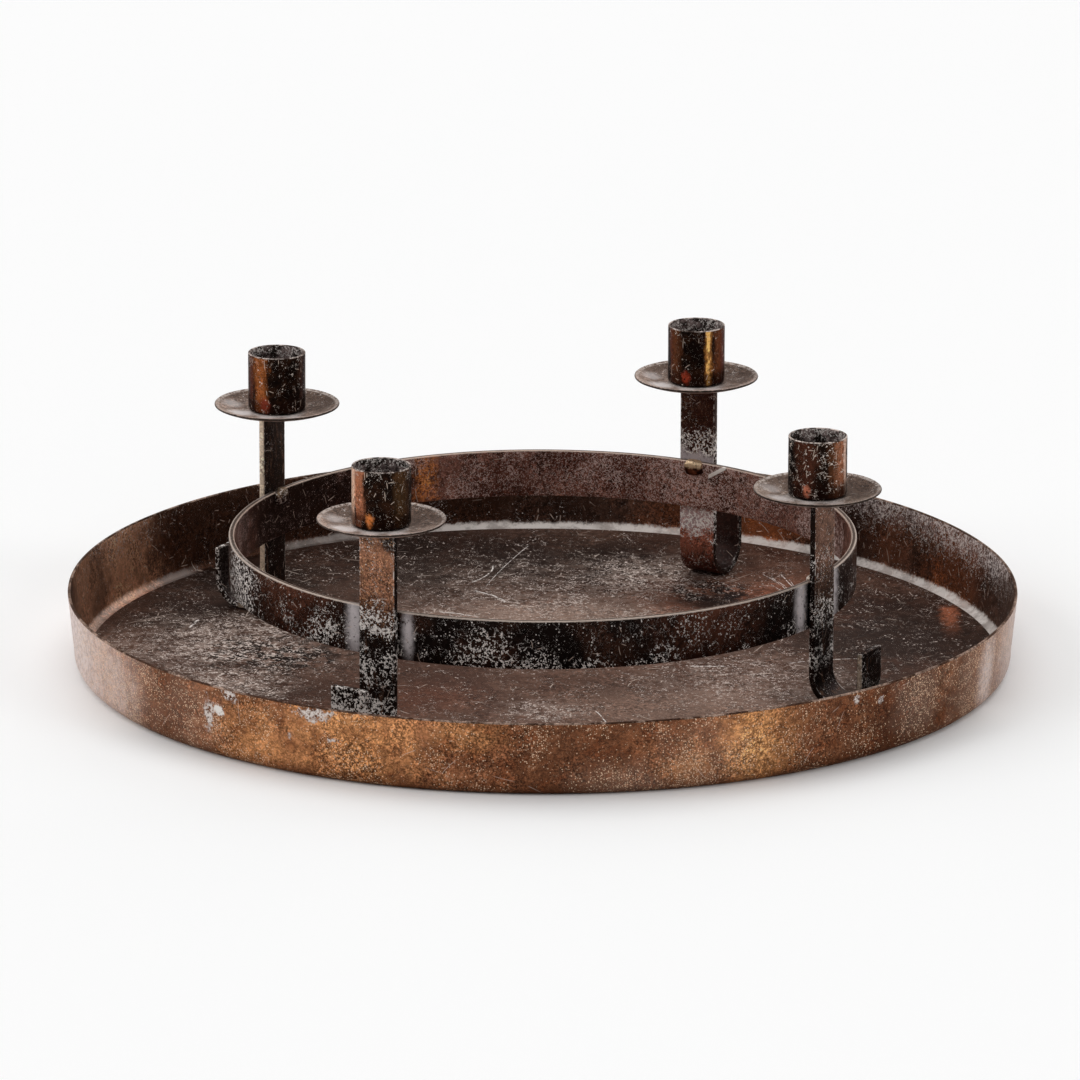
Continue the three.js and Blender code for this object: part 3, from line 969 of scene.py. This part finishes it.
def hoop_inner():
    """Red-brown inside of the hoop with a pinkish grain and one bright copper patch."""
    f = Finish("hoop_brown_inside")
    big = f.noise(34, 4, 0.6, 111)
    middle = f.noise(10, 5, 0.7, 112)
    small = f.noise(1.5, 4, 0.72, 113)
    f.colour = f.mix(f.step(big, 0.38, 0.6), (98, 60, 49), (142, 100, 87))
    left = f.spot(on_hoop(-95, 45), 52, 0.4, 14, 119, 0.6)
    f.coat(left * 0.95, (32, 20, 16))
    f.coat(f.step(middle, 0.5, 0.6) * 0.55, DARK)
    spot = f.spot(on_hoop(-126.8, 44), 5.5, 0.5, 5, 114, 0.5, (1, 1, 0.35)) * f.step(small, 0.36, 0.54)
    f.coat(spot * 0.9, (226, 144, 84))
    f.weather(110, 0.4, 0.5, 2.0)
    dusty = (
        f.spot(on_hoop(180, 46), 30, 0.5, 8, 115, 0.8) | f.spot(on_hoop(-170, 42), 70, 0.3, 10, 120, 0.7) * 0.6
        | f.clouds(0.46, 0.6, 18, 4, 0.65, 116) * 0.95
    )
    amount = (dusty * 0.72 + 0.12) * f.level(left, 1, 0.25)
    grains = f.crystals(amount * 0.9, 0.55, 117) | f.grains(amount * 1.1, 0.62, 122) * 0.8
    f.coat(grains * 0.8, (226, 198, 190))
    marks = f.scratches(f.along_wall(RING_RADIUS), f.z, 7, 0.28, 9, density=0.35)
    inside = (RING_RADIUS - RING_THICKNESS) / MM
    from_slash = math.radians(SLASH_AZIMUTH) * inside - f.along_wall(RING_RADIUS - RING_THICKNESS)
    off_slash = f.scaled(from_slash, -0.6, f.z - SLASH_HEIGHT)
    slash = f.step(abs(off_slash), 1.15, 0.7) * f.step(abs(from_slash), 5, 4)
    _, edge = edge_lines(f, RING_RADIUS, RING_LOW, RING_HIGH)
    f.coat(marks * 0.6, PALE)
    # Pale edge lines: wear with a painted edge highlight
    f.coat(edge * 0.8, (206, 186, 172))
    f.coat(slash, LACE)
    metallic = (1 - grains * 0.8) * 0.72
    roughness = f.level(middle, 0.32, 0.5) + grains * 0.25
    height = small * 0.5 + marks * -0.5
    return f.done(metallic, roughness, height, 0.16)


DARK_SIDE = (44, 34, 30)

# Each arm's patina: colours down the tall leg from its top, each with the height in
# millimetres where it begins; bands of pale crystals as (height, half height, strength)
# and of smooth bloom as the same, on the tall leg; the crystals' strength on the short
# leg and that of the scattered ones elsewhere; the strength of its golden grain; the
# colour of its narrow sides on the tall leg and, where it isn't dark, on the short leg, a
# pale one being a painted highlight; and a painted shadow of the plate, as its centre and size
ARM_LOOKS = {
    1: {
        "colours": [(200, (92, 60, 47)), (83, (158, 110, 84)), (58, (74, 50, 40)), (46, (26, 16, 13))],
        "bands": [(50, 10, 0.95), (31, 9, 0.8), (12, 8, 0.85)],
        "short": 0.95, "scattered": 0.35, "golden": 1.0, "side": (24, 17, 15),
        "painted_shadow": ((9, -ARM_MIDDLE / MM, 88), 8),
    },
    2: {
        "colours": [(200, (36, 26, 23)), (50, (30, 21, 18))],
        "bands": [(50, 5, 0.2)],
        "short": 0.85, "scattered": 0.15, "golden": 0.1, "side": (214, 194, 172),
    },
    3: {
        "colours": [(200, (116, 84, 70)), (58, (64, 44, 35)), (40, (22, 14, 12))],
        "bands": [(60, 10, 0.35), (40, 12, 0.65), (20, 8, 0.5)],
        "short": 0.15, "scattered": 0.35, "golden": 0.55, "side": (30, 20, 17),
        "short_side": (176, 164, 148),
    },
    4: {
        "colours": [(200, (62, 32, 24)), (46, (168, 104, 84)), (14, (92, 48, 37))],
        "bands": [(62, 8, 0.9), (30, 14, 0.95)],
        "bloom": [(54, 6, 0.9), (42, 6, 0.6), (27, 7, 0.65)],
        "short": 0.2, "scattered": 0.35, "golden": 0.15, "side": (50, 36, 32),
    },
}


def bands_of(f, line, looks):
    """Bands across a leg, each look being (height, half height, strength)."""
    masks = [0.0]
    for height, half, strength in looks:
        away = abs(line - height)
        masks.append(f.step(away, half, half * 0.3) * strength)
    return larger(masks)


def arm_finish(number):
    """One arm's patina: stained metal with bands of pale crystals and worn edges, painted shade inside its bend,
    painted highlights on pale narrow sides and, on arm 1, a painted shadow of its plate.
    """
    look = ARM_LOOKS[number]
    f = Finish(f"arm_{number}_patina")
    turn = math.radians(ARM_TURNS[number])
    across = f.vector("DOT_PRODUCT", f.place, (-math.sin(turn), math.cos(turn), 0))
    outward = f.vector("DOT_PRODUCT", f.place, (math.cos(turn), math.sin(turn), 0))
    seed = 130 + number * 10
    middle = f.noise(9, 5, 0.7, seed)
    small = f.noise(1.5, 4, 0.74, seed + 1)
    streaks = f.noise(2.6, 4, 0.65, seed + 2, stretch=(1, 1, 0.22))
    line = f.z + (middle - 0.5) * 26
    f.colour = look["colours"][0][1]
    for start, band_colour in look["colours"][1:]:
        f.coat(f.step(line, start + 6, start - 6), band_colour)
    f.coat(f.step(middle, 0.5, 0.6) * 0.45, DARK)
    f.coat(f.step(small, 0.52, 0.62) * 0.5, BLACK)
    f.coat(f.step(streaks, 0.54, 0.64) * 0.2, (160, 120, 98))
    f.weather(seed + 6, 0.4, 0.5, 2.2)
    tall = f.step(outward, ARM_MIDDLE / MM + 14, ARM_MIDDLE / MM + 10)
    near = bands_of(f, line, look["bands"]) * tall
    bloom = bands_of(f, line, look.get("bloom", [])) * tall * f.step(small, 0.3, 0.46)
    short = (1 - tall) * look["short"]
    scattered = f.clouds(0.46, 0.62, 8, 3, 0.6, seed + 3) * look["scattered"]
    # Painted shade inside the U of the bend
    bend = BEND_RADIUS / MM
    from_bend = outward - (ARM_MIDDLE + BEND_RADIUS + BAR_THICKNESS / 2) / MM
    below_bend = f.math("MINIMUM", f.z - (ARM_LOW.z + BEND_RADIUS + BAR_THICKNESS) / MM, 0)
    bend_shade = f.step(f.vector("LENGTH", f.flat(from_bend, below_bend)), bend + 0.6, bend + 0.3)
    bend_shade = bend_shade * f.step(from_bend, -6, -2)
    grains = f.crystals(near + short + scattered, 0.72, seed + 4)
    grains = grains * f.level(bend_shade, 1, 0.1)
    golden = f.grains(0.55, 1.0, seed + 8) * f.step(line, 36, 62) * look["golden"]
    marks = f.scratches(across, f.z + outward, 8, 0.28, number, density=0.5)
    limit = ARM_HALF_WIDTH / MM
    ends = f.step(abs(across), limit - 0.35, limit - 0.1)
    arris = (
        f.step(abs(across), limit - 0.9, limit - 0.5) * (1 - ends)
        * f.clouds(0.5, 0.58, 2.4, 4, 0.72, seed + 5)
    )
    # The narrow sides' colour; a pale one is a painted highlight
    side = f.weathered(f.mix(tall, look.get("short_side", DARK_SIDE), look["side"]), seed + 7, 0.4, 0.4)
    # Painted shadow: the plate's shadow on the top of arm 1
    if "painted_shadow" in look:
        centre, size = look["painted_shadow"]
        f.coat(f.spot(centre, size, 0.3, 4, seed + 9, 0.3) * 0.85, (34, 29, 25))
    f.coat(golden * 0.7, (226, 168, 122))
    f.coat(bloom * 0.85, (200, 188, 190))
    f.coat(ends, side)
    f.coat(bend_shade * 0.9, (46, 38, 37))
    f.coat(grains * 0.9, LACE)
    f.coat(marks * 0.5, PALE)
    f.coat(arris * 0.55, LACE)
    pale = grains | bloom
    metallic = (1 - pale * 0.85) * 0.6
    roughness = f.level(middle, 0.34, 0.52) + pale * 0.25
    height = small * 0.5 + grains * 0.4 + marks * -0.5
    return f.done(metallic, roughness, height, 0.2, specular=0.25)


# The one bead with a full painted highlight on its crown
HIGHLIGHTED_BEAD = 4


def bead_finish(number):
    """A weld bead: dark red-brown, with a painted golden highlight on its crown, full on one bead and faint on the
    others.
    """
    f = Finish(f"bead_{number}_patina")
    small = f.noise(1.2, 3, 0.7, 180 + number)
    middle = f.noise(3, 3, 0.6, 190 + number)
    # Painted highlight: the bead's top is lighter, where light falls
    crown_highlight = f.rise(middle, 4, RING_HIGH / MM - 1, RING_HIGH / MM + 0.5)
    crown_highlight = crown_highlight * (1.0 if number == HIGHLIGHTED_BEAD else 0.2)
    warm = (104, 56, 36) if number == HIGHLIGHTED_BEAD else (66, 44, 37)
    f.colour = f.mix(f.step(middle, 0.4, 0.6), (48, 24, 18), warm)
    f.coat(crown_highlight * 0.9, (244, 214, 176))
    f.coat(f.step(small, 0.54, 0.64) * 0.6, BLACK)
    if number != HIGHLIGHTED_BEAD:
        f.coat(f.crystals(0.75, 0.8, 195 + number) * 0.8, LACE)
    return f.done(0.8, f.level(small, 0.25, 0.45), small + middle, 0.4)


def centre_of(number):
    """The axis of a cup and its plate, in millimetres."""
    turn = math.radians(ARM_TURNS[number])
    return (CUP_AXIS / MM * math.cos(turn), CUP_AXIS / MM * math.sin(turn), 0)


def around(number, azimuth, reach, height):
    """A place around the axis of a cup and its plate, in millimetres."""
    turn = math.radians(azimuth)
    return tuple(Vector(centre_of(number)) + Vector((reach * math.sin(turn), -reach * math.cos(turn), height)))


# The plate that is duller than the others, and the azimuth in degrees of the plates' pale side, toward which painted
# light makes them paler
DULL_PLATE = 3
PALE_SIDE = 20

# Glints on each plate: azimuth in degrees, way from the middle and size in millimetres, and strength
PLATE_GLINTS = [(-32, 17, 5, 1.0), (14, 14.5, 4, 0.8), (56, 15.5, 4, 0.7), (-75, 20, 4, 0.5)]


def plate_finish(number):
    """A drip plate's greige bloom over brown copper, darker in patches, with a dark rim line, and painted light:
    paler on one side, glints, a shadow behind the cup and shade under the rim.
    """
    f = Finish(f"plate_{number}_patina")
    seed = 200 + number * 10
    offset = f.vector("SUBTRACT", f.vector("MULTIPLY", f.place, (1, 1, 0)), centre_of(number))
    reach = f.vector("LENGTH", offset)
    middle = f.noise(8, 5, 0.68, seed)
    small = f.noise(1.4, 4, 0.72, seed + 1)
    # Painted light: each plate paler towards its lit side and darker behind the cup
    pale_side = math.radians(PALE_SIDE)
    toward = f.vector("DOT_PRODUCT", offset, (math.sin(pale_side), -math.cos(pale_side), 0))
    dull = number == DULL_PLATE
    lit_side_share = f.step(f.scaled(middle - 0.5, 44, toward), -16, 20)
    f.colour = f.mix(lit_side_share, (92, 74, 64), (150, 129, 115) if dull else (184, 159, 145))
    seat = PLATE_LOW.z / MM + 1.5
    # Painted shadow of the cup on the plate
    behind = Vector(centre_of(number)) + Vector((17, 12, seat))
    painted_shadow = f.spot(tuple(behind), 9, 0.5, 4, seed + 4, 0.7)
    f.coat(painted_shadow * 0.4, (58, 41, 33))
    f.coat(f.step(small, 0.52, 0.6) * f.level(lit_side_share, 0.8, 0.45), (46, 32, 27))
    f.weather(seed + 3, 0.4, 0.5, 2.0)
    glints = larger([
        f.spot(around(number, turn, reach_out, seat), size, 0.3, 3, seed + 5 + turn, 0.6) * strength
        for turn, reach_out, size, strength in PLATE_GLINTS
    ])
    # Pale toward the cup's lit front: a painted highlight, on which crystals also grow
    around_cup = f.step(f.scaled(middle, 5, reach), CUP_RADIUS / MM + 6, CUP_RADIUS / MM + 3)
    around_cup = around_cup * f.step(toward, 0, 10)
    grains = f.crystals(around_cup * 0.6 + f.step(middle, 0.46, 0.62) * 0.4, 0.8, seed + 2)
    f.coat((glints | around_cup * 0.6) * (0.55 if dull else 0.8), (240, 232, 230))
    f.coat(grains * 0.7, LACE)
    sides = f.parts(offset)
    marks = f.scratches(sides[0], sides[1], 8, 0.24, 20 + number, density=0.35)
    f.coat(marks * 0.5, (226, 214, 205))
    # A dark line along the rim's edge, and painted shade on the rim's underside
    outline = f.step(f.scaled(small, 0.9, reach), PLATE_RADIUS / MM - 0.1, PLATE_RADIUS / MM + 0.4)
    under = f.step(f.z, PLATE_LOW.z / MM + 2.7, PLATE_LOW.z / MM + 2.2)
    outline = outline | under * f.step(reach, PLATE_RADIUS / MM - 0.8, PLATE_RADIUS / MM - 0.5)
    f.coat(outline * 0.95, (30, 21, 18))
    inline = (
        f.step(reach, PLATE_RADIUS / MM - 2.2, PLATE_RADIUS / MM - 1.4) * (1 - outline)
        * f.step(small, 0.4, 0.56)
    )
    f.coat(inline * 0.6, (222, 210, 202))
    mineral = grains * 0.6 | around_cup * 0.4 | glints
    height = small * 0.4 + marks * -0.4
    return f.dusted(mineral, 0.5, f.level(middle, 0.36, 0.54), 0.2, height, 0.12, specular=0.35)


# For each cup, upright bands in the dark stain: those between -60 and 120 degrees are
# painted reflection highlights, those near 200 are bare copper. Each is the azimuth of a
# band's middle in degrees, its half width in degrees, its strength and its colour
CUP_BANDS = {
    1: [(-42, 14, 0.9, (232, 192, 168)), (-19, 14, 0.9, (164, 104, 76)), (80, 24, 0.45, (92, 66, 42)),
        (200, 40, 0.5, COPPER)],
    2: [(-4, 17, 0.85, (150, 86, 46)), (-34, 12, 0.5, (110, 64, 42)), (96, 14, 0.3, (96, 62, 48)),
        (190, 36, 0.5, COPPER)],
    3: [(80, 15, 0.7, (160, 106, 80)), (97, 6, 0.7, (226, 196, 180)), (2, 24, 0.35, (104, 60, 46)),
        (60, 12, 0.4, (104, 64, 42)), (214, 36, 0.5, COPPER)],
    4: [(-22, 18, 0.6, (112, 66, 42)), (54, 9, 0.8, (158, 104, 54)), (54, 3.8, 0.95, (248, 192, 112)),
        (88, 20, 0.6, (112, 64, 40)), (200, 30, 0.5, COPPER)],
}

# How much pale crystal each cup carries, and how dense its scratches are
CUP_CRYSTALS = {1: 0.25, 2: 0.22, 3: 0.5, 4: 0.06}
CUP_SCRATCHES = {1: 0.25, 2: 0.25, 3: 0.6, 4: 0.25}

# The ember-red spot low on each cup: its azimuth and height, and for each cup its strength, its
# colour and its size in millimetres
EMBER_AZIMUTH = 7
EMBER_HEIGHT = 4.5
CUP_EMBERS = {
    1: (1.0, (240, 150, 84), 1.7),
    2: (0.55, (168, 74, 60), 1.9),
    3: (0.95, (232, 146, 116), 1.5),
    4: (0.75, (190, 78, 54), 1.7),
}


def cup_finish(number):
    """A cup's glossy outside: a dark stain that also stands in for a dark reflection, with upright bands of painted
    reflection highlights between -60 and 120 degrees and rubbed-through copper on the far side.
    """
    f = Finish(f"cup_{number}_outside")
    seed = 250 + number * 10
    offset = f.vector("SUBTRACT", f.place, centre_of(number))
    sides = f.parts(offset)
    middle = f.noise(7, 5, 0.68, seed)
    small = f.noise(1.3, 4, 0.72, seed + 1)
    f.colour = f.mix(f.step(middle, 0.42, 0.62), (20, 12, 9), (44, 26, 17))
    uneven = (f.noise(4, 4, 0.65, seed + 2, stretch=(1, 1, 0.5)) - 0.5) * 0.6
    level = f.vector("NORMALIZE", f.vector("MULTIPLY", offset, (1, 1, 0)))
    # Painted reflection highlights, and on the far side bare copper
    for azimuth, half_width, strength, band_colour in CUP_BANDS[number]:
        turn = math.radians(azimuth)
        facing = f.vector("DOT_PRODUCT", level, (math.sin(turn), -math.cos(turn), 0))
        angle = f.math("ARCCOSINE", facing) + uneven
        band = f.step(angle, math.radians(half_width * 1.35), math.radians(half_width * 0.5))
        f.coat(band * strength, band_colour)
    dull = f.rise(middle, 4, CUP_LOW.z / MM + 9.5, CUP_LOW.z / MM + 7)
    f.coat(dull * 0.62, (32, 17, 12))
    f.coat(f.step(small, 0.54, 0.62) * 0.45, (28, 17, 12))
    f.weather(seed + 6, 0.3, 0.35, 2.0)
    along = f.along_wall(CUP_RADIUS, sides[0], sides[1])
    marks = (
        f.scratches(along, f.z, 4, 0.24, 30 + number, density=CUP_SCRATCHES[number])
        | f.scratches(along, f.z, 7, 0.2, 40 + number, density=0.35, turn=math.pi / 2 - 0.25, spread=0.16)
    )
    clusters = f.clouds(0.46, 0.6, 5, 3, 0.6, seed + 3)
    top = f.rise(middle, 6, CUP_HIGH.z / MM - 4, CUP_HIGH.z / MM + 2) * 0.15
    grains = f.crystals(clusters * CUP_CRYSTALS[number] + top, 0.8, seed + 4)
    # Painted shade: a black line at the cup's foot, in the gap where it meets the plate
    foot = f.rise(small, 1.5, CUP_LOW.z / MM + 2.6, CUP_LOW.z / MM + 1.4)
    f.coat(foot * 0.75, BLACK)
    f.coat(grains * 0.85, (232, 220, 210))
    f.coat(marks * 0.6, (226, 206, 190))
    ember_place = around(number, EMBER_AZIMUTH, CUP_RADIUS / MM, CUP_LOW.z / MM + EMBER_HEIGHT)
    strength, ember_colour, ember_size = CUP_EMBERS[number]
    ember = f.spot(ember_place, ember_size, 0.5, 2, seed + 5, 0.6, (1, 1, 0.7))
    f.coat(ember * f.step(small, 0.34, 0.5) * strength, ember_colour)
    metallic = (1 - grains * 0.8) * 0.7
    roughness = f.level(middle, 0.24, 0.42) + grains * 0.3
    height = small * 0.4 + marks * -0.5
    return f.done(metallic, roughness, height, 0.1, specular=0.15, tint=(0.3, 0.2, 0.15, 1))


def cup_lip():
    """The cups' lip, worn pale between dark spots."""
    f = Finish("cup_worn_lip")
    middle = f.noise(4, 4, 0.65, 301)
    small = f.noise(1, 3, 0.7, 302)
    f.colour = f.mix(f.step(middle, 0.42, 0.58), (54, 40, 34), (206, 192, 184))
    f.coat(f.step(small, 0.52, 0.6) * 0.8, BLACK)
    return f.done(0.6, f.level(middle, 0.3, 0.45), small, 0.1)


def cup_inside():
    """The cups' dark inside, freckled with pale dust."""
    f = Finish("cup_inside")
    middle = f.noise(6, 5, 0.68, 311)
    small = f.noise(1.2, 4, 0.72, 312)
    f.colour = f.mix(f.step(middle, 0.42, 0.58), (36, 27, 24), (136, 120, 117))
    f.weather(315, 0.4, 0.4, 2.0)
    high = f.rise(middle, 6, CUP_HIGH.z / MM - 4, CUP_HIGH.z / MM + 1)
    cloudy = f.clouds(0.42, 0.6, 6, 3, 0.6, 313) * 0.7
    grains = f.crystals(cloudy | high * 0.7, 0.8, 314)
    f.coat(grains * 0.9, LACE)
    return f.done(0.4, f.level(middle, 0.4, 0.6), small, 0.12)


# Pieces

def dress(piece, materials, body, node):
    """Gives a piece its finishes and fits it over its CAD node."""
    for material in materials:
        piece.data.materials.append(material)
    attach(piece, body)
    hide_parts(node)


def put(piece, number, along):
    """Moves a piece out along +X, then round to its arm."""
    turn = Matrix.Rotation(math.radians(ARM_TURNS[number]), 4, "Z")
    piece.data.transform(turn @ Matrix.Translation((along, 0, 0)))


profile, slots = tray_profile()
tray = turned("pressed_tray", profile, TRAY_STEPS, slots, shape=tray_shape)
dress(tray, [tray_outer(), tray_rim(), tray_inner(), tray_floor()], "tray", "tray")

profile, slots = ring_profile()
hoop = turned("bar_hoop", profile, RING_STEPS, slots, closed=True, shape=ring_shape)
dress(hoop, [hoop_outer(), hoop_inner()], "candle_frame", "ring")

lip = cup_lip()
inside = cup_inside()
for number in ARM_TURNS:
    arm = arm_mesh(number)
    put(arm, number, 0)
    dress(arm, [arm_finish(number)], "candle_frame", f"arm_{number}")

    bead = bead_mesh(number)
    put(bead, number, 0)
    dress(bead, [bead_finish(number)], "candle_frame", f"weld_bead_{number}")

    plate = plate_mesh(number)
    put(plate, number, CUP_AXIS)
    dress(plate, [plate_finish(number)], "candle_frame", f"drip_plate_{number}")

    cup = cup_mesh(number)
    put(cup, number, CUP_AXIS)
    dress(cup, [cup_finish(number), lip, inside], "candle_frame", f"candle_cup_{number}")


# Floor, light and camera

FLOOR_SIZE = 60
FLOOR_TONES = 0.98, 0.99
WORLD_LEVEL = 0.34


def floor_finish():
    f = Finish("pale_floor")
    cloud = f.noise(900, 2, 0.5, 401)
    f.colour = f.mix(cloud, *([tone, tone, tone, 1] for tone in FLOOR_TONES))
    return f.done(0.0, 0.9, cloud, 0.01, specular=0.0)


made = bmesh.new()
bmesh.ops.create_grid(made, x_segments=12, y_segments=12, size=FLOOR_SIZE / 2)
floor = finish_mesh("studio_floor", made)
floor.data.materials.append(floor_finish())


def sun(name, azimuth, elevation, strength, spread):
    """A soft far lamp that shines from an azimuth and elevation, in degrees."""
    data = bpy.data.lights.new(name, "SUN")
    data.energy = strength
    data.angle = math.radians(spread)
    lamp = bpy.data.objects.new(name, data)
    a = math.radians(azimuth)
    e = math.radians(elevation)
    source = Vector((math.sin(a) * math.cos(e), -math.cos(a) * math.cos(e), math.sin(e)))
    lamp.rotation_euler = source.to_track_quat("Z", "Y").to_euler()
    bpy.context.scene.collection.objects.link(lamp)


sun("top_light", CAMERA_AZIMUTH + 180, 72, 1.05, 60)
sun("left_light", CAMERA_AZIMUTH - 75, 32, 0.8, 40)
sun("right_light", CAMERA_AZIMUTH + 60, 28, 0.5, 25)
sun("left_rim_light", CAMERA_AZIMUTH - 135, 22, 0.55, 50)
sun("right_rim_light", CAMERA_AZIMUTH + 150, 22, 0.45, 40)

world = bpy.data.worlds.new("studio")
world.use_nodes = True
world.node_tree.nodes["Background"].inputs["Color"].default_value = (WORLD_LEVEL, WORLD_LEVEL, WORLD_LEVEL, 1)
bpy.context.scene.world = world

camera_data = bpy.data.cameras.new("camera")
camera_data.lens = CAMERA_LENS
camera_data.sensor_width = CAMERA_SENSOR
camera_data.clip_end = 1000
camera = bpy.data.objects.new("camera", camera_data)
azimuth = math.radians(CAMERA_AZIMUTH)
elevation = math.radians(CAMERA_ELEVATION)
camera.location = CAMERA_DISTANCE * Vector(
    (math.sin(azimuth) * math.cos(elevation), -math.cos(azimuth) * math.cos(elevation), math.sin(elevation))
)
aim = Matrix.Rotation(azimuth + math.radians(CAMERA_SWING), 3, "Z")
aim @= Matrix.Rotation(math.radians(90 - CAMERA_PITCH), 3, "X") @ Matrix.Rotation(math.radians(CAMERA_ROLL), 3, "Z")
camera.rotation_euler = aim.to_euler()
bpy.context.scene.collection.objects.link(camera)
bpy.context.scene.camera = camera

bpy.context.scene.view_settings.view_transform = "Standard"
